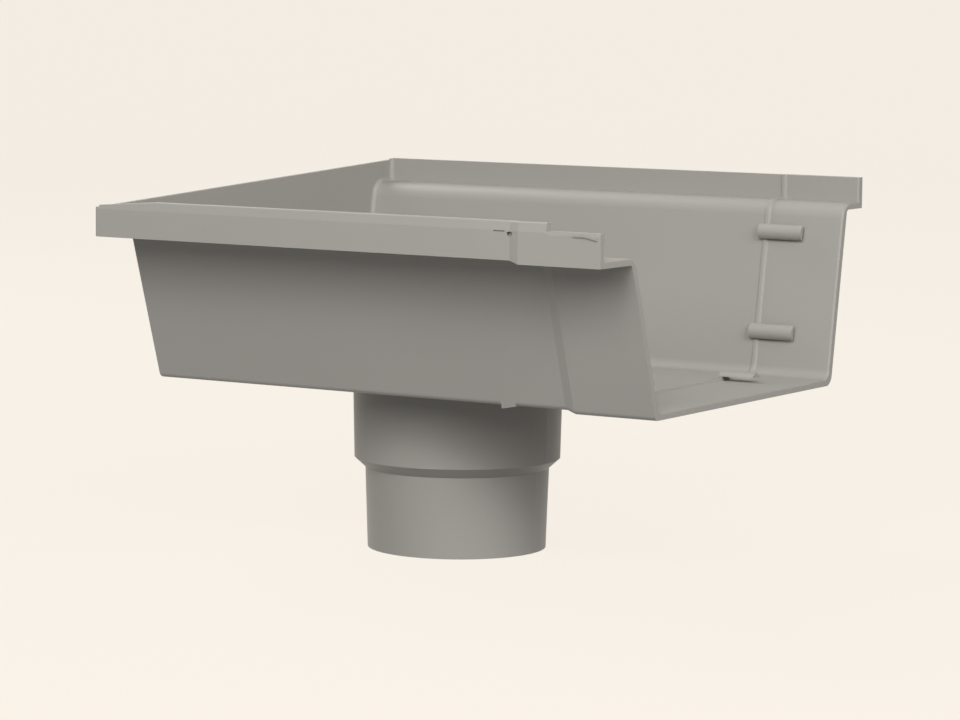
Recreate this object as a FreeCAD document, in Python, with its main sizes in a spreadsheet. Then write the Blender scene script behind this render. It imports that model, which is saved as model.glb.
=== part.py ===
"""Stop-end outlet of a box gutter: one moulded piece.

A trapezoidal trough, open at the top, is closed by a flat wall at one end. The other end
flares outwards into a socket, where the gutter slides in as far as a stop rib. A tapered,
stepped pipe stub drops from the middle of the floor.

Frame: millimetres. The origin is on the stub's axis in the plane of its lower rim. +X runs
along the trough to the open end, +Y goes to the higher, back side and +Z is up.
"""
import FreeCAD
import Part
import math
import os
import Sketcher

NODE = "box_gutter_outlet"

# Driving dimensions, in millimetres, and angles in degrees.
SIZES = {
    # The trough along X: the stub's axis is outlet_setback from the closed end.
    "trough_length": 337.2,
    "outlet_setback": 142.9,
    # The trough's outer section, measured from the stub's axis and up from the floor's underside.
    "floor_half_width": 105.5,
    "front_lean": 17.8,
    "back_lean": 9.5,
    "front_ledge_rise": 87.0,
    "back_ledge_rise": 103.5,
    "front_lip_reach": 167.3,
    "back_lip_reach": 142.5,
    "front_lip_height": 18.0,
    "back_lip_height": 16.7,
    # The thickness of the upright walls and lips, and that of the floor and the ledges.
    "wall": 3.0,
    "flat_wall": 2.2,
    # Corner radii of the section.
    "front_floor_round": 3.5,
    "back_floor_round": 7.0,
    "front_floor_fillet": 6.5,
    "back_floor_fillet": 6.5,
    "ledge_underside_fillet": 5.0,
    "socket_underside_fillet": 2.5,
    "ledge_round": 10.0,
    # The closed end: its outer edge, the corner inside it, and how far its top lies below the rims.
    "closed_end_round": 1.5,
    "closed_end_fillet": 2.5,
    "closed_end_drop": 1.0,
    # The socket at the open end.
    "socket_cover": 57.3,
    "socket_depth": 48.1,
    "socket_flare": 1.8,
    "flare_length": 6.2,
    "socket_step": 0.3,
    "mouth_chamfer": 0.5,
    "mouth_chamfer_depth": 1.2,
    "stop_rib_width": 4.0,
    "stop_rib_rise": 0.8,
    "stop_rib_ramp": 1.2,
    # The front lip: its top leans in by lip_slant, and a turned-in bead carries that face on.
    "lip_bevel": 2.0,
    "lip_slant": 10.0,
    "bead_rise": 3.3,
    "bead_nose": 4.0,
    "bead_depth": 4.5,
    "bead_round": 0.8,
    "bead_start_share": 0.12,
    "bead_runout": 40.0,
    "bead_setback": 33.5,
    "plain_lip_drop": 1.1,
    # The tongues that hold the gutter's wall against the socket.
    "tongue_width": 9.0,
    "tongue_crown": 2.8,
    "tongue_gap": 2.6,
    "tongue_length": 29.0,
    "tongue_root": 5.3,
    "floor_tongue_length": 22.5,
    "floor_tongue_root": 2.3,
    "tongue_low_rise": 27.9,
    "tongue_high_rise": 87.2,
    "tongue_floor_place": 64.5,
    # The pipe stub: a collar for the larger pipe and a spigot for the smaller one.
    "collar_diameter": 125.3,
    "collar_end_diameter": 123.2,
    "collar_height": 47.6,
    "neck_height": 6.0,
    "spigot_diameter": 110.0,
    "spigot_end_diameter": 106.8,
    "spigot_height": 48.1,
    "stub_wall": 3.2,
    "stub_root_fillet": 2.0,
    "stub_mouth_round": 2.4,
    # Small details of the front lip and the floor's front edge.
    "lip_hole_length": 3.9,
    "lip_hole_height": 2.3,
    "lip_hole_round": 1.1,
    "lip_hole_gap": 0,
    "lip_hole_drop": 3.7,
    "lip_hole_depth": 2.2,
    "lip_slot_length": 7.0,
    "lip_slot_height": 0.8,
    "lip_slot_depth": 0.8,
    "lip_slot_gap": 1.25,
    "lug_length": 14.5,
    "lug_setback": 2.0,
    "lug_height": 1.5,
    "lug_sink": 0.3,
    "lug_proud": 0.9,
    "lug_hook_length": 7.0,
    "lug_hook_drop": 1.5,
    "nib_start": 95.0,
    "nib_length": 9.5,
    "nib_drop": 2.0,
    "nib_end_drop": 0.2,
    "nib_depth": 7.0,
}

# Planes along X, as expressions of the sheet's cells.
CLOSED = "(-sheet.outlet_setback)"
OPEN = "(sheet.trough_length - sheet.outlet_setback)"
FLARE = f"({OPEN} - sheet.socket_cover)"
FLARE_END = f"({FLARE} + sheet.flare_length)"
STOP = f"({OPEN} - sheet.socket_depth)"
RIB = f"({STOP} - sheet.stop_rib_width)"
BEAD_START = f"({CLOSED} + sheet.wall)"
BEAD_FULL = f"({BEAD_START} + sheet.bead_runout)"
BEAD_END = f"({OPEN} - sheet.bead_setback)"

# Heights: the floor's underside, and the tops of the two lips.
NECK = "(sheet.spigot_height + sheet.neck_height)"
FLOOR = f"({NECK} + sheet.collar_height)"
FRONT_RIM = f"({FLOOR} + sheet.front_ledge_rise + sheet.front_lip_height)"
BACK_RIM = f"({FLOOR} + sheet.back_ledge_rise + sheet.back_lip_height)"

# How far each skin lies outside the trough's outer skin.
SHELL = "0"
LINING = "(-sheet.wall)"
RIB_LINING = "(-sheet.wall - sheet.stop_rib_rise)"
SOCKET_SHELL = "sheet.socket_flare"
SOCKET_LINING = "(sheet.socket_step - sheet.wall)"
MOUTH_LINING = f"({SOCKET_LINING} + sheet.mouth_chamfer)"

# A lining lies this much nearer to the outer skin at the floor and ledges than at the walls.
FLAT_GAIN = "(sheet.wall - sheet.flat_wall)"

# How far the front lip's top leans in over its slanted part.
BEVEL_RUN = "(tan(sheet.lip_slant * 1 deg) * sheet.lip_bevel)"

# A cutting outline reaches this far past the solid.
OVERSHOOT = "5"


def make_sheet(doc):
    """Put every driving dimension in a cell of its own, under its name."""
    sheet = doc.addObject("Spreadsheet::Sheet", "sheet")
    for row, (name, value) in enumerate(SIZES.items(), start=1):
        sheet.set(f"A{row}", name)
        sheet.set(f"B{row}", str(value))
        sheet.setAlias(f"B{row}", name)
    doc.recompute()
    return sheet


def number(sheet, expression):
    """The present value of an expression of the sheet's cells."""
    return float(sheet.evalExpression(expression))


def origin_plane(body, role):
    """One of a body's own origin planes."""
    return next(item for item in body.Origin.OriginFeatures if item.Role == role)


def add_sketch(body, name, role, offset="0"):
    """Attach a new sketch to an origin plane, moved along the plane's normal by offset."""
    sketch = body.newObject("Sketcher::SketchObject", name)
    sketch.AttachmentSupport = [(origin_plane(body, role), "")]
    sketch.MapMode = "FlatFace"
    sketch.setExpression("AttachmentOffset.Base.z", offset)
    return sketch


def drive(sketch, kind, items, name, expression):
    """Add a named dimension to a sketch and bind it to the sheet."""
    value = number(sketch.Document.sheet, expression)
    index = sketch.addConstraint(Sketcher.Constraint(kind, *items, value))
    sketch.renameConstraint(index, name)
    sketch.setExpression(f"Constraints.{name}", expression)


def place_point(sketch, point, name, across, up):
    """Hold a point of a sketch at two coordinates, each an expression of the sheet."""
    origin = (-1, 1)
    for kind, axis, expression in (("DistanceX", -2, across), ("DistanceY", -1, up)):
        value = number(sketch.Document.sheet, expression)
        label = f"{name}_{kind[-1].lower()}"
        if abs(value) < 1e-9:
            sketch.addConstraint(Sketcher.Constraint("PointOnObject", *point, axis))
        elif value > 0:
            drive(sketch, kind, origin + point, label, expression)
        else:
            drive(sketch, kind, point + origin, label, f"-({expression})")


def draw_outline(sketch, corners):
    """Draw a closed outline through corners (name, across, up, radius).

    A corner with a radius becomes an arc that is tangent to both of its sides, and keeps
    its sharp point for construction. A corner with an empty radius stays sharp.
    """
    sheet = sketch.Document.sheet
    points = [FreeCAD.Vector(number(sheet, c[1]), number(sheet, c[2]), 0) for c in corners]
    radii = [number(sheet, c[3]) if c[3] else 0.0 for c in corners]
    count = len(corners)
    sides = [(points[(i + 1) % count] - points[i]).normalize() for i in range(count)]
    trims = []
    for i in range(count):
        turn = sides[i - 1].getAngle(sides[i])
        trims.append(radii[i] * math.tan(turn / 2))
    for i in range(count):
        start = points[i] + sides[i] * trims[i]
        end = points[(i + 1) % count] - sides[i] * trims[(i + 1) % count]
        sketch.addGeometry(Part.LineSegment(start, end))
    for i, (name, across, up, radius) in enumerate(corners):
        before = (i - 1) % count
        if not radius:
            sketch.addConstraint(Sketcher.Constraint("Coincident", before, 2, i, 1))
            place_point(sketch, (i, 1), name, across, up)
            continue
        turns_left = sides[before].cross(sides[i]).z > 0
        normal = FreeCAD.Vector(-sides[before].y, sides[before].x, 0) * (1 if turns_left else -1)
        first = points[i] - sides[before] * trims[i]
        last = points[i] + sides[i] * trims[i]
        centre = first + normal * radii[i]
        if not turns_left:
            first, last = last, first
        angles = [math.atan2(p.y - centre.y, p.x - centre.x) for p in (first, last)]
        circle = Part.Circle(centre, FreeCAD.Vector(0, 0, 1), radii[i])
        arc = sketch.addGeometry(Part.ArcOfCircle(circle, *angles))
        arc_ends = (1, 2) if turns_left else (2, 1)
        sketch.addConstraint(Sketcher.Constraint("Tangent", before, 2, arc, arc_ends[0]))
        sketch.addConstraint(Sketcher.Constraint("Tangent", i, 1, arc, arc_ends[1]))
        drive(sketch, "Radius", (arc,), f"{name}_radius", radius)
        corner = sketch.addGeometry(Part.Point(points[i]), True)
        place_point(sketch, (corner, 1), name, across, up)
        sketch.addConstraint(Sketcher.Constraint("PointOnObject", corner, 1, before))
        sketch.addConstraint(Sketcher.Constraint("PointOnObject", corner, 1, i))


def front_wall(rise, skin):
    """Where a skin of the front wall lies across the trough, at a rise above the floor's underside."""
    lean = "sheet.front_lean * 1 deg"
    return f"(-(sheet.floor_half_width + tan({lean}) * ({rise}) + ({skin}) / cos({lean})))"


def back_wall(rise, skin):
    """Where a skin of the back wall lies across the trough, at a rise above the floor's underside."""
    lean = "sheet.back_lean * 1 deg"
    return f"(sheet.floor_half_width + tan({lean}) * ({rise}) + ({skin}) / cos({lean}))"


def section(skin, flat_skin, rounds):
    """The corners of the trough's section below its rims, from front to back.

    skin is the skin of the walls and lips, and flat_skin that of the floor and ledges. rounds
    holds the radii of the front floor corner, the back floor corner, and the corner between
    wall and ledge.
    """
    front_floor, back_floor, ledge = rounds
    front_ledge = f"(sheet.front_ledge_rise - ({flat_skin}))"
    back_ledge = f"(sheet.back_ledge_rise - ({flat_skin}))"
    underside = f"(-({flat_skin}))"
    return [
        ("front_lip", f"(-sheet.front_lip_reach - ({skin}))", f"({FLOOR} + {front_ledge})", ""),
        ("front_ledge", front_wall(front_ledge, skin), f"({FLOOR} + {front_ledge})", ledge),
        ("front_floor", front_wall(underside, skin), f"({FLOOR} + {underside})", front_floor),
        ("back_floor", back_wall(underside, skin), f"({FLOOR} + {underside})", back_floor),
        ("back_ledge", back_wall(back_ledge, skin), f"({FLOOR} + {back_ledge})", ledge),
        ("back_lip", f"(sheet.back_lip_reach + ({skin}))", f"({FLOOR} + {back_ledge})", ""),
    ]


def outer_section(skin, underside_fillet):
    """The section of an outer skin, closed from rim to rim, with the front lip's slanted top."""
    rounds = ("sheet.front_floor_round", "sheet.back_floor_round", underside_fillet)
    face = f"(-sheet.front_lip_reach - ({skin}))"
    return [
        ("front_rim", f"({face} + {BEVEL_RUN})", FRONT_RIM, ""),
        ("front_bevel", face, f"({FRONT_RIM} - sheet.lip_bevel)", ""),
        *section(skin, skin, rounds),
        ("back_rim", f"(sheet.back_lip_reach + ({skin}))", BACK_RIM, ""),
    ]


def inner_section(skin):
    """The section of an inner skin, open above both rims."""
    rounds = ("sheet.front_floor_fillet", "sheet.back_floor_fillet", "sheet.ledge_round")
    above = f"({BACK_RIM} + {OVERSHOOT})"
    return [
        ("front_above", f"(-sheet.front_lip_reach - ({skin}))", above, ""),
        *section(skin, f"({skin} + {FLAT_GAIN})", rounds),
        ("back_above", f"(sheet.back_lip_reach + ({skin}))", above, ""),
    ]


def extrude(body, kind, name, corners, start, end):
    """Pad or pocket an outline across the trough, from one plane along X to another."""
    adds = kind == "PartDesign::Pad"
    sketch = add_sketch(body, f"{name}_outline", "YZ_Plane", start if adds else end)
    draw_outline(sketch, corners)
    feature = body.newObject(kind, name)
    feature.Profile = sketch
    feature.setExpression("Length", f"{end} - {start}")
    sketch.Visibility = False
    return feature


def blend(body, kind, name, start_corners, end_corners, start, end):
    """Loft in straight lines between two outlines, on two planes along X."""
    first = add_sketch(body, f"{name}_start_outline", "YZ_Plane", start)
    draw_outline(first, start_corners)
    last = add_sketch(body, f"{name}_end_outline", "YZ_Plane", end)
    draw_outline(last, end_corners)
    feature = body.newObject(kind, name)
    feature.Profile = first
    feature.Sections = [(last, [""])]
    feature.Ruled = True
    first.Visibility = False
    last.Visibility = False
    return feature


def turn(body, kind, name, corners):
    """Revolve an outline, of radius and height, about the stub's axis."""
    sketch = add_sketch(body, f"{name}_outline", "XZ_Plane")
    draw_outline(sketch, corners)
    feature = body.newObject(kind, name)
    feature.Profile = sketch
    feature.ReferenceAxis = (sketch, ["V_Axis"])
    feature.Angle = 360.0
    return feature


def press_front(body, kind, name, corners, face, depth):
    """Pad or pocket an outline in X and Z, from a plane that lies at face towards the front.

    A pad grows towards the front, and a pocket goes the other way.
    """
    sketch = add_sketch(body, f"{name}_outline", "XZ_Plane", face)
    draw_outline(sketch, corners)
    feature = body.newObject(kind, name)
    feature.Profile = sketch
    feature.setExpression("Length", depth)
    sketch.Visibility = False
    return feature


def fillet_end_outline(body, name, base, plane, radius):
    """Fillet the edges of a feature that lie in a plane across the trough, but for the top one."""
    sheet = body.Document.sheet
    place = number(sheet, plane)
    floor_width = number(sheet, "(2 * sheet.floor_half_width)")
    edges = []
    for index, edge in enumerate(base.Shape.Edges, start=1):
        in_plane = all(abs(vertex.X - place) < 1e-6 for vertex in edge.Vertexes)
        span = abs(edge.Vertexes[-1].Y - edge.Vertexes[0].Y)
        if in_plane and span < floor_width:
            edges.append(f"Edge{index}")
    fillet = body.newObject("PartDesign::Fillet", name)
    fillet.Base = (base, edges)
    fillet.setExpression("Radius", radius)


def stub_outline():
    """The stub's outer half section, ending inside the trough's floor."""
    flange = "(sheet.collar_diameter / 2 + sheet.stub_root_fillet + 1)"
    inside = f"({FLOOR} + sheet.flat_wall / 2)"
    return [
        ("foot", "0", "0", ""),
        ("rim", "(sheet.spigot_end_diameter / 2)", "0", ""),
        ("shoulder", "(sheet.spigot_diameter / 2)", "sheet.spigot_height", ""),
        ("neck", "(sheet.collar_end_diameter / 2)", NECK, ""),
        ("root", "(sheet.collar_diameter / 2)", FLOOR, "sheet.stub_root_fillet"),
        ("flange_low", flange, FLOOR, ""),
        ("flange_high", flange, inside, ""),
        ("top", "0", inside, ""),
    ]


def stub_bore():
    """The stub's bore as a half section, with a rounded mouth in the trough's floor."""
    mouth = "(sheet.collar_diameter / 2 - sheet.stub_wall)"
    mouth_edge = f"({mouth} + sheet.stub_mouth_round + 1)"
    lining = f"({FLOOR} + sheet.flat_wall)"
    above = f"({lining} + {OVERSHOOT})"
    return [
        ("below", "0", "0", ""),
        ("rim", "(sheet.spigot_end_diameter / 2 - sheet.stub_wall)", "0", ""),
        ("shoulder", "(sheet.spigot_diameter / 2 - sheet.stub_wall)", "sheet.spigot_height", ""),
        ("neck", "(sheet.collar_end_diameter / 2 - sheet.stub_wall)", NECK, ""),
        ("mouth", mouth, lining, "sheet.stub_mouth_round"),
        ("edge_low", mouth_edge, lining, ""),
        ("edge_high", mouth_edge, above, ""),
        ("above", "0", above, ""),
    ]


def bead_outline(skin, share="1"):
    """The turned-in bead: it carries the lip's slanted face on and hooks down inside.

    share is how much of its full size the bead has.
    """
    slope = "tan(sheet.lip_slant * 1 deg)"
    face = f"(-sheet.front_lip_reach - ({skin}))"
    crest = f"({face} + {BEVEL_RUN} + {slope} * sheet.bead_rise * {share})"
    nose = f"({crest} + sheet.bead_nose * {share})"
    crest_top = f"({FRONT_RIM} + sheet.bead_rise * {share})"
    hook = f"({crest_top} - sheet.bead_depth * {share})"
    foot = f"({crest} + sheet.bead_nose * {share} / 4)"
    foot_level = f"({hook} - sheet.bead_nose * {share} / 2)"
    radius = f"(sheet.bead_round * {share})"
    return [
        ("bevel", f"({face} + {BEVEL_RUN} / 2)", f"({FRONT_RIM} - sheet.lip_bevel / 2)", ""),
        ("foot", foot, foot_level, ""),
        ("hook", nose, hook, radius),
        ("nose", nose, crest_top, radius),
        ("crest", crest, crest_top, radius),
    ]


def plain_lip_outline():
    """What is cut off the top of the socket's front lip, where the lip is lower and has no bead."""
    face = f"(-sheet.front_lip_reach - {SOCKET_SHELL})"
    outside = f"({face} - {OVERSHOOT})"
    inside = f"({face} + sheet.wall + sheet.socket_flare + {OVERSHOOT})"
    ridge = f"({FRONT_RIM} - sheet.plain_lip_drop)"
    bevel_foot = f"({ridge} - sheet.lip_bevel)"
    above = f"({FRONT_RIM} + {OVERSHOOT})"
    return [
        ("foot", face, bevel_foot, ""),
        ("ridge", f"({face} + {BEVEL_RUN})", ridge, ""),
        ("inside", inside, ridge, ""),
        ("inside_above", inside, above, ""),
        ("outside_above", outside, above, ""),
        ("outside", outside, bevel_foot, ""),
    ]


def draw_tongue(sketch, middle, tilt, behind):
    """Draw a tongue's section: a flat side, with an arc as its crown.

    middle is the flat side's middle, and tilt is the flat side's angle, with the crown on its
    left. behind is how far the section goes on behind its flat side, or empty for none.
    """
    half = "(sheet.tongue_width / 2)"
    crown = "sheet.tongue_crown"
    crown_radius = f"(({half}^2 + {crown}^2) / (2 * {crown}))"

    def spot(name, side, back):
        across = f"({middle[0]} + ({side}) * cos({tilt}) + ({back}) * sin({tilt}))"
        up = f"({middle[1]} + ({side}) * sin({tilt}) - ({back}) * cos({tilt}))"
        return name, across, up

    path = [spot("left", f"-{half}", "0"), spot("right", half, "0")]
    if behind:
        path[1:1] = [spot("left_back", f"-{half}", behind), spot("right_back", half, behind)]
    sheet = sketch.Document.sheet
    points = [FreeCAD.Vector(number(sheet, p[1]), number(sheet, p[2]), 0) for p in path]
    last = len(points) - 2
    for i in range(last + 1):
        sketch.addGeometry(Part.LineSegment(points[i], points[i + 1]))
        place_point(sketch, (i, 1), *path[i])
        if i > 0:
            sketch.addConstraint(Sketcher.Constraint("Coincident", i - 1, 2, i, 1))
    place_point(sketch, (last, 2), *path[-1])
    centre_spot = spot("centre", "0", f"({crown_radius} - {crown})")
    centre = FreeCAD.Vector(number(sheet, centre_spot[1]), number(sheet, centre_spot[2]), 0)
    angles = [math.atan2(p.y - centre.y, p.x - centre.x) for p in (points[-1], points[0])]
    circle = Part.Circle(centre, FreeCAD.Vector(0, 0, 1), number(sheet, crown_radius))
    arc = sketch.addGeometry(Part.ArcOfCircle(circle, *angles))
    sketch.addConstraint(Sketcher.Constraint("Coincident", last, 2, arc, 1))
    sketch.addConstraint(Sketcher.Constraint("Coincident", 0, 1, arc, 2))
    drive(sketch, "Radius", (arc,), "crown_radius", crown_radius)


def add_tongue(body, name, spot_at, tilt, root="sheet.tongue_root", length="sheet.tongue_length"):
    """Add one tongue: a root that fills the gap to the wall, and the free tongue over the socket.

    spot_at gives the middle of the tongue's flat side for the skin that the side lies on.
    """
    flat_skin = f"({SOCKET_LINING} - sheet.tongue_gap)"
    inside_wall = f"(-sheet.wall / 2 - {flat_skin})"
    for part_name, behind, reach in ((f"{name}_root", inside_wall, root), (name, "", length)):
        sketch = add_sketch(body, f"{part_name}_outline", "YZ_Plane", f"({STOP} - {root})")
        draw_tongue(sketch, spot_at(flat_skin), tilt, behind)
        pad = body.newObject("PartDesign::Pad", part_name)
        pad.Profile = sketch
        pad.setExpression("Length", reach)
        sketch.Visibility = False


def add_tongues(body):
    """Two tongues on each leaning wall, and two on the floor, each side of the stub's axis."""
    for level, rise in (("low", "sheet.tongue_low_rise"), ("high", "sheet.tongue_high_rise")):
        if level == "high":
            front_rise = f"({rise} - sheet.back_ledge_rise + sheet.front_ledge_rise)"
        else:
            front_rise = rise
        add_tongue(
            body,
            f"back_{level}_tongue",
            lambda skin, at=rise: (back_wall(at, skin), f"({FLOOR} + {at})"),
            "((90 - sheet.back_lean) * 1 deg)",
        )
        add_tongue(
            body,
            f"front_{level}_tongue",
            lambda skin, at=front_rise: (front_wall(at, skin), f"({FLOOR} + {at})"),
            "((sheet.front_lean - 90) * 1 deg)",
        )
    for side, sign in (("back", ""), ("front", "-")):
        add_tongue(
            body,
            f"floor_{side}_tongue",
            lambda skin, at=f"({sign}sheet.tongue_floor_place)": (at, f"({FLOOR} - {skin} - {FLAT_GAIN})"),
            "(0 * 1 deg)",
            "sheet.floor_tongue_root",
            "sheet.floor_tongue_length",
        )


def add_lip_details(body):
    """The blind hole and the slot beside it in the front lip, and the lug on the socket's lip."""
    bevel_foot = f"({FRONT_RIM} - sheet.lip_bevel)"
    hole_end = f"({FLARE} - sheet.lip_hole_gap + sheet.lip_hole_length / 2)"
    hole_start = f"({hole_end} - sheet.lip_hole_length)"
    hole_low = f"({FRONT_RIM} - sheet.lip_hole_drop - sheet.lip_hole_height / 2)"
    hole_high = f"({hole_low} + sheet.lip_hole_height)"
    hole = [
        ("start_low", hole_start, hole_low, "sheet.lip_hole_round"),
        ("end_low", hole_end, hole_low, "sheet.lip_hole_round"),
        ("end_high", hole_end, hole_high, "sheet.lip_hole_round"),
        ("start_high", hole_start, hole_high, "sheet.lip_hole_round"),
    ]
    face = "sheet.front_lip_reach"
    socket_face = "(sheet.front_lip_reach + sheet.socket_flare)"
    hole_reach = "(sheet.lip_hole_depth + sheet.socket_flare)"
    press_front(body, "PartDesign::Pocket", "lip_hole", hole, socket_face, hole_reach)

    slot_end = f"({hole_start} - sheet.lip_slot_gap)"
    slot_start = f"({slot_end} - sheet.lip_slot_length)"
    slot_low = f"({bevel_foot} - sheet.lip_slot_height)"
    slot = [
        ("start_low", slot_start, slot_low, ""),
        ("end_low", slot_end, slot_low, ""),
        ("end_high", slot_end, bevel_foot, ""),
        ("start_high", slot_start, bevel_foot, ""),
    ]
    press_front(body, "PartDesign::Pocket", "lip_slot", slot, face, "sheet.lip_slot_depth")

    lug_end = f"({OPEN} - sheet.lug_setback)"
    lug_bend = f"({lug_end} - sheet.lug_hook_length)"
    lug_start = f"({lug_end} - sheet.lug_length)"
    lug_low = f"({bevel_foot} - sheet.plain_lip_drop - sheet.lug_sink)"
    lug_high = f"({lug_low} + sheet.lug_height)"
    lug = [
        ("start_low", lug_start, lug_low, ""),
        ("bend_low", lug_bend, lug_low, ""),
        ("end_low", lug_end, f"({lug_low} - sheet.lug_hook_drop)", ""),
        ("end_high", lug_end, f"({lug_high} - sheet.lug_hook_drop)", ""),
        ("bend_high", lug_bend, lug_high, ""),
        ("start_high", lug_start, lug_high, ""),
    ]
    inside_lip = f"({socket_face} - sheet.wall / 2)"
    reach = "(sheet.wall / 2 + sheet.lug_proud)"
    press_front(body, "PartDesign::Pad", "socket_lug", lug, inside_lip, reach)


def nib_outline(drop):
    """The nib's section: level with the front wall, and below the floor by drop."""
    inside = "(sheet.front_floor_round)"
    toe = f"(-{drop})"
    heel = f"({front_wall('0', SHELL)} + sheet.nib_depth)"
    behind = f"({front_wall(inside, SHELL)} + sheet.wall / 3)"
    return [
        ("wall", front_wall(inside, SHELL), f"({FLOOR} + {inside})", ""),
        ("toe", front_wall(toe, SHELL), f"({FLOOR} + {toe})", ""),
        ("heel", heel, f"({FLOOR} + sheet.flat_wall / 2)", ""),
        ("inside", behind, f"({FLOOR} + {inside})", ""),
    ]


def add_floor_nib(body):
    """The small nib under the floor's front edge, which runs out towards the open end."""
    deep = nib_outline("sheet.nib_drop")
    shallow = nib_outline("sheet.nib_end_drop")
    end = "(sheet.nib_start + sheet.nib_length)"
    blend(body, "PartDesign::AdditiveLoft", "floor_nib", deep, shallow, "sheet.nib_start", end)


def lower_end_wall(body):
    """Cut the closed end's top edge down below the line from rim to rim."""
    front = "(-sheet.front_lip_reach)"
    back = "(sheet.back_lip_reach)"
    slope = f"(({BACK_RIM} - {FRONT_RIM}) / ({back} - {front}))"
    front_level = f"({FRONT_RIM} - sheet.closed_end_drop - {slope} * {OVERSHOOT})"
    back_level = f"({BACK_RIM} - sheet.closed_end_drop + {slope} * {OVERSHOOT})"
    above = f"({BACK_RIM} + {OVERSHOOT})"
    corners = [
        ("front_low", f"({front} - {OVERSHOOT})", front_level, ""),
        ("back_low", f"({back} + {OVERSHOOT})", back_level, ""),
        ("back_high", f"({back} + {OVERSHOOT})", above, ""),
        ("front_high", f"({front} - {OVERSHOOT})", above, ""),
    ]
    inside = f"({CLOSED} + sheet.wall)"
    extrude(body, "PartDesign::Pocket", "end_wall_top", corners, CLOSED, inside)


def add_hollow(body):
    """Hollow the trough and the socket, with the stop rib between them, and open the mouth."""
    pocket = "PartDesign::Pocket"
    loft = "PartDesign::SubtractiveLoft"
    lining = inner_section(LINING)
    crest = inner_section(RIB_LINING)
    socket = inner_section(SOCKET_LINING)
    inside = f"({CLOSED} + sheet.wall)"
    trough_hollow = extrude(body, pocket, "trough_hollow", lining, inside, RIB)
    body.Document.recompute()
    fillet_end_outline(body, "end_wall_fillet", trough_hollow, inside, "sheet.closed_end_fillet")

    crest_start = f"({RIB} + sheet.stop_rib_ramp)"
    crest_end = f"({STOP} - sheet.stop_rib_ramp)"
    blend(body, loft, "rib_front", lining, crest, RIB, crest_start)
    extrude(body, pocket, "rib_crest", crest, crest_start, crest_end)
    blend(body, loft, "rib_back", crest, socket, crest_end, STOP)

    lead_in = f"({OPEN} - sheet.mouth_chamfer_depth)"
    extrude(body, pocket, "socket_hollow", socket, STOP, OPEN)
    blend(body, loft, "mouth_lead_in", socket, inner_section(MOUTH_LINING), lead_in, OPEN)


def add_bead(body):
    """The bead along the front lip: it grows from the closed end and stops short of the mouth."""
    pad = "PartDesign::Pad"
    loft = "PartDesign::AdditiveLoft"
    small = bead_outline(SHELL, "sheet.bead_start_share")
    full = bead_outline(SHELL)
    full_socket = bead_outline(SOCKET_SHELL)
    blend(body, loft, "bead_runout", small, full, BEAD_START, BEAD_FULL)
    extrude(body, pad, "trough_bead", full, BEAD_FULL, FLARE)
    blend(body, loft, "bead_flare", full, full_socket, FLARE, FLARE_END)
    extrude(body, pad, "socket_bead", full_socket, FLARE_END, BEAD_END)
    extrude(body, "PartDesign::Pocket", "plain_lip", plain_lip_outline(), BEAD_END, OPEN)


def build_outlet(doc):
    """The whole moulding, as one body."""
    body = doc.addObject("PartDesign::Body", NODE)
    body.Label = NODE
    pad = "PartDesign::Pad"
    shell = outer_section(SHELL, "sheet.ledge_underside_fillet")
    socket = outer_section(SOCKET_SHELL, "sheet.socket_underside_fillet")

    trough = extrude(body, pad, "trough_shell", shell, CLOSED, FLARE)
    doc.recompute()
    fillet_end_outline(body, "end_wall_rounding", trough, CLOSED, "sheet.closed_end_round")
    blend(body, "PartDesign::AdditiveLoft", "flare", shell, socket, FLARE, FLARE_END)
    extrude(body, pad, "socket_shell", socket, FLARE_END, OPEN)
    turn(body, "PartDesign::Revolution", "stub", stub_outline())
    add_hollow(body)
    lower_end_wall(body)
    turn(body, "PartDesign::Groove", "stub_hollow", stub_bore())
    add_bead(body)
    add_tongues(body)
    add_floor_nib(body)
    add_lip_details(body)
    doc.recompute()
    return body


def check_model(doc, body):
    """Stop if an object failed, or if a feature did not add or remove material as it should."""
    for item in doc.Objects:
        if "Invalid" in item.State or "Error" in item.State:
            raise RuntimeError(f"{item.Name} failed: {item.State}")
    signs = {
        "Pad": 1,
        "AdditiveLoft": 1,
        "Revolution": 1,
        "Pocket": -1,
        "SubtractiveLoft": -1,
        "Groove": -1,
    }
    volume = 0.0
    for feature in body.Group:
        if not feature.isDerivedFrom("PartDesign::Feature"):
            continue
        change = feature.Shape.Volume - volume
        volume = feature.Shape.Volume
        sign = signs.get(feature.TypeId.split("::")[1], 0)
        if change * sign < 0 or abs(change) < 1e-6:
            raise RuntimeError(f"{feature.Name} changed the volume by {change:.3f}")
    shape = body.Shape
    if shape.isNull() or not shape.isValid() or len(shape.Solids) != 1:
        raise RuntimeError(f"{body.Label} is not one valid solid")


def main():
    doc = FreeCAD.newDocument("box_gutter_outlet_model")
    make_sheet(doc)
    body = build_outlet(doc)
    check_model(doc, body)
    os.makedirs("parts", exist_ok=True)
    body.Shape.exportStep(f"parts/{body.Label}.step")
    box = body.Shape.optimalBoundingBox(False, False)
    print(f"{body.Label}: {box.XLength:.1f} x {box.YLength:.1f} x {box.ZLength:.1f} mm")
    print(f"volume {body.Shape.Volume / 1000:.1f} cm3, {len(body.Shape.Faces)} faces")


main()
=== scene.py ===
import math

import bpy
from mathutils import Matrix, Vector


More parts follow.
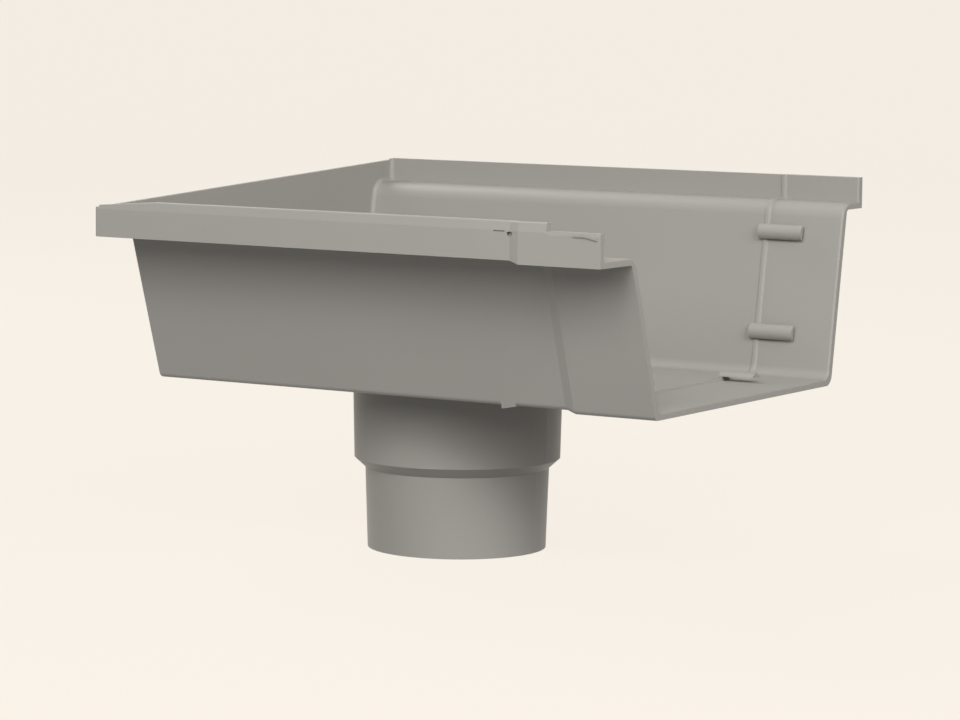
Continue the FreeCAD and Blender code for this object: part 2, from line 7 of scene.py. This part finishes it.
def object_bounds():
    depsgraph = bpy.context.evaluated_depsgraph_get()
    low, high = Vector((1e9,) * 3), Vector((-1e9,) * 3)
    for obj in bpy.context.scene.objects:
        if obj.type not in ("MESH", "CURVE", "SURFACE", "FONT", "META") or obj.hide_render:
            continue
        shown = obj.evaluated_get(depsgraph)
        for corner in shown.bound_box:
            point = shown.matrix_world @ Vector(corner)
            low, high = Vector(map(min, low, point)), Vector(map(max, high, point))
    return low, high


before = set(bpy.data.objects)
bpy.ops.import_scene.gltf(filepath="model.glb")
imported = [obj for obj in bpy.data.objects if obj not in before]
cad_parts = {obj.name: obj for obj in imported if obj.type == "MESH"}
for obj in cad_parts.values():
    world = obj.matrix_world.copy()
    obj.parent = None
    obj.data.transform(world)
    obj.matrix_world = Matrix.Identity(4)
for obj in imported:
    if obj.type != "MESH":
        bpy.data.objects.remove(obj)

CAD_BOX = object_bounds()
NODE = "box_gutter_outlet"

# The photograph's camera, in the part's own frame.
CAMERA_PLACE = (1.1427, -1.8176, 0.3432)
CAMERA_AZIMUTH = 31.81
CAMERA_ELEVATION = 6.15
CAMERA_ROLL = 0.52
FOCAL_LENGTH_PIXELS = 3618
PHOTO_WIDTH_PIXELS = 960
SENSOR_WIDTH_MM = 36

# Colours, in sRGB.
PLASTIC_COLOUR = (0.598, 0.587, 0.565)
BACKDROP_COLOUR = (0.969, 0.941, 0.902)

# The plastic's faint cloud: how much lighter and darker it goes, its scale and its detail.
PLASTIC_CLOUD = 0.03
CLOUD_SCALE = 11
CLOUD_DETAIL = 3

# The plastic's fine grain, and the sheen that goes with it.
GRAIN_SCALE = 900
GRAIN_DETAIL = 4
GRAIN_DEPTH = 0.0001
GRAIN_STRENGTH = 0.12
ROUGHNESS_RANGE = (0.38, 0.46)
SPECULAR_LEVEL = 0.2

# A Mix node's colour sockets, by number, because its other sockets share their names.
MIX_COLOUR_A = 6
MIX_COLOUR_B = 7
MIX_COLOUR_RESULT = 2

# What the backdrop sends on, as shares of white: some of the lamps' light, and an even glow.
# The studio pair lights the part. The seen pair is what the camera and reflections see, and it
# is much paler.
STUDIO_ALBEDO = 0.2
STUDIO_GLOW = 0.09
SEEN_ALBEDO = 0.05
SEEN_GLOW = 0.96

# Each lamp: name, azimuth and elevation from the part, distance, width and watts.
LAMPS = (
    ("key", 10, 28, 2.5, 1.4, 36.2),
    ("key_core", 25, 38, 2.5, 0.7, 10.3),
    ("side", 60, 30, 2.5, 1.4, 31.3),
    ("side_low", 90, 18, 2.5, 1.4, 10.6),
    ("fill", -100, 38, 2.5, 1.6, 41.8),
)


def linear(colour):
    """An sRGB colour as the linear RGBA that a socket takes."""
    channels = [c / 12.92 if c <= 0.04045 else ((c + 0.055) / 1.055) ** 2.4 for c in colour]
    return (*channels, 1.0)


def direction(azimuth, elevation):
    """The unit vector towards a place seen at an azimuth, 0 at -Y and 90 at +X, and an elevation."""
    a, e = math.radians(azimuth), math.radians(elevation)
    return Vector((math.sin(a) * math.cos(e), -math.cos(a) * math.cos(e), math.sin(e)))


def add_camera():
    back = direction(CAMERA_AZIMUTH, CAMERA_ELEVATION)
    right = Vector((0, 0, 1)).cross(back).normalized()
    up = back.cross(right)
    roll = math.radians(CAMERA_ROLL)
    rolled_right = right * math.cos(roll) + up * math.sin(roll)
    rolled_up = up * math.cos(roll) - right * math.sin(roll)
    turn = Matrix((rolled_right, rolled_up, back)).transposed()
    data = bpy.data.cameras.new("camera")
    data.sensor_width = SENSOR_WIDTH_MM
    data.lens = FOCAL_LENGTH_PIXELS * SENSOR_WIDTH_MM / PHOTO_WIDTH_PIXELS
    camera = bpy.data.objects.new("camera", data)
    camera.matrix_world = Matrix.Translation(CAMERA_PLACE) @ turn.to_4x4()
    bpy.context.scene.collection.objects.link(camera)
    bpy.context.scene.camera = camera


def add_lamp(name, azimuth, elevation, distance, width, watts):
    data = bpy.data.lights.new(name, "AREA")
    data.shape = "DISK"
    data.size = width
    data.energy = watts
    lamp = bpy.data.objects.new(name, data)
    towards = direction(azimuth, elevation)
    middle = (CAD_BOX[0] + CAD_BOX[1]) / 2
    lamp.location = middle + towards * distance
    lamp.rotation_euler = towards.to_track_quat("Z", "Y").to_euler()
    bpy.context.scene.collection.objects.link(lamp)


def seen_rays(nodes, links):
    """1 for the rays that show the backdrop itself, in the picture or in a reflection, else 0."""
    rays = nodes.new("ShaderNodeLightPath")
    total = rays.outputs["Is Camera Ray"]
    for kind in ("Is Glossy Ray", "Is Transmission Ray"):
        either = nodes.new("ShaderNodeMath")
        either.operation = "MAXIMUM"
        links.new(total, either.inputs[0])
        links.new(rays.outputs[kind], either.inputs[1])
        total = either.outputs["Value"]
    return total


def two_colours(nodes, links, factor, unseen, seen):
    """A colour that is one thing for the rays that show the backdrop and another for the rest."""
    mix = nodes.new("ShaderNodeMix")
    mix.data_type = "RGBA"
    links.new(factor, mix.inputs["Factor"])
    mix.inputs[MIX_COLOUR_A].default_value = unseen
    mix.inputs[MIX_COLOUR_B].default_value = seen
    return mix.outputs[MIX_COLOUR_RESULT]


def share(colour, part):
    """A share of a colour, in linear light."""
    return (*[channel * part for channel in linear(colour)[:3]], 1.0)


def add_world():
    """The sky beyond the backdrop: the backdrop's colour where it is seen, and no light."""
    world = bpy.data.worlds.new("studio")
    world.use_nodes = True
    nodes, links = world.node_tree.nodes, world.node_tree.links
    factor = seen_rays(nodes, links)
    colour = two_colours(nodes, links, factor, (0, 0, 0, 1), linear(BACKDROP_COLOUR))
    links.new(colour, nodes["Background"].inputs["Color"])
    bpy.context.scene.world = world


def backdrop_material():
    """Pale and even to the camera, apart from a faint share that takes the object's shadow."""
    material = bpy.data.materials.new("backdrop")
    material.use_nodes = True
    nodes, links = material.node_tree.nodes, material.node_tree.links
    nodes.clear()
    factor = seen_rays(nodes, links)
    white = (1.0, 1.0, 1.0)
    albedo = two_colours(
        nodes, links, factor, share(white, STUDIO_ALBEDO), share(BACKDROP_COLOUR, SEEN_ALBEDO)
    )
    light = two_colours(
        nodes, links, factor, share(white, STUDIO_GLOW), share(BACKDROP_COLOUR, SEEN_GLOW)
    )
    diffuse = nodes.new("ShaderNodeBsdfDiffuse")
    links.new(albedo, diffuse.inputs["Color"])
    glow = nodes.new("ShaderNodeEmission")
    links.new(light, glow.inputs["Color"])
    both = nodes.new("ShaderNodeAddShader")
    links.new(diffuse.outputs["BSDF"], both.inputs[0])
    links.new(glow.outputs["Emission"], both.inputs[1])
    output = nodes.new("ShaderNodeOutputMaterial")
    links.new(both.outputs["Shader"], output.inputs["Surface"])
    return material


def add_backdrop():
    """A floor under the part that curves up into a wall all round it."""
    flat, bend, wall, steps, turns = 4.0, 1.5, 3.0, 12, 96
    profile = [(0.0, 0.0), (flat, 0.0)]
    for i in range(1, steps + 1):
        angle = math.pi / 2 * i / steps
        profile.append((flat + bend * math.sin(angle), bend * (1 - math.cos(angle))))
    profile.append((flat + bend, bend + wall))
    vertices = [(0.0, 0.0, 0.0)]
    for radius, height in profile[1:]:
        for k in range(turns):
            angle = 2 * math.pi * k / turns
            vertices.append((radius * math.cos(angle), radius * math.sin(angle), height))
    faces = [(0, 1 + k, 1 + (k + 1) % turns) for k in range(turns)]
    for ring in range(len(profile) - 2):
        low, high = 1 + ring * turns, 1 + (ring + 1) * turns
        for k in range(turns):
            after = (k + 1) % turns
            faces.append((low + k, high + k, high + after, low + after))
    mesh = bpy.data.meshes.new("backdrop")
    mesh.from_pydata(vertices, [], faces)
    mesh.polygons.foreach_set("use_smooth", [True] * len(faces))
    backdrop = bpy.data.objects.new("backdrop", mesh)
    backdrop.data.materials.append(backdrop_material())
    bpy.context.scene.collection.objects.link(backdrop)


def plastic_material():
    """Satin, warm grey, injection moulded plastic: even, with a faint cloud and a fine grain."""
    material = bpy.data.materials.new("moulded_plastic_look")
    material.use_nodes = True
    nodes, links = material.node_tree.nodes, material.node_tree.links
    shader = nodes["Principled BSDF"]
    place = nodes.new("ShaderNodeTexCoord")

    cloud = nodes.new("ShaderNodeTexNoise")
    cloud.inputs["Scale"].default_value = CLOUD_SCALE
    cloud.inputs["Detail"].default_value = CLOUD_DETAIL
    links.new(place.outputs["Object"], cloud.inputs["Vector"])
    colour = nodes.new("ShaderNodeMix")
    colour.data_type = "RGBA"
    links.new(cloud.outputs["Fac"], colour.inputs["Factor"])
    colour.inputs[MIX_COLOUR_A].default_value = share(PLASTIC_COLOUR, 1 - PLASTIC_CLOUD)
    colour.inputs[MIX_COLOUR_B].default_value = share(PLASTIC_COLOUR, 1 + PLASTIC_CLOUD)
    links.new(colour.outputs[MIX_COLOUR_RESULT], shader.inputs["Base Color"])

    grain = nodes.new("ShaderNodeTexNoise")
    grain.inputs["Scale"].default_value = GRAIN_SCALE
    grain.inputs["Detail"].default_value = GRAIN_DETAIL
    links.new(place.outputs["Object"], grain.inputs["Vector"])
    satin = nodes.new("ShaderNodeMapRange")
    links.new(grain.outputs["Fac"], satin.inputs["Value"])
    satin.inputs["To Min"].default_value = ROUGHNESS_RANGE[0]
    satin.inputs["To Max"].default_value = ROUGHNESS_RANGE[1]
    links.new(satin.outputs["Result"], shader.inputs["Roughness"])
    bump = nodes.new("ShaderNodeBump")
    bump.inputs["Strength"].default_value = GRAIN_STRENGTH
    bump.inputs["Distance"].default_value = GRAIN_DEPTH
    links.new(grain.outputs["Fac"], bump.inputs["Height"])
    links.new(bump.outputs["Normal"], shader.inputs["Normal"])
    shader.inputs["Specular IOR Level"].default_value = SPECULAR_LEVEL
    return material


def dress_part():
    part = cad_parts[NODE]
    part.material_slots[0].material = plastic_material()


add_camera()
add_world()
for lamp in LAMPS:
    add_lamp(*lamp)
add_backdrop()
dress_part()
bpy.context.scene.view_settings.view_transform = "Standard"
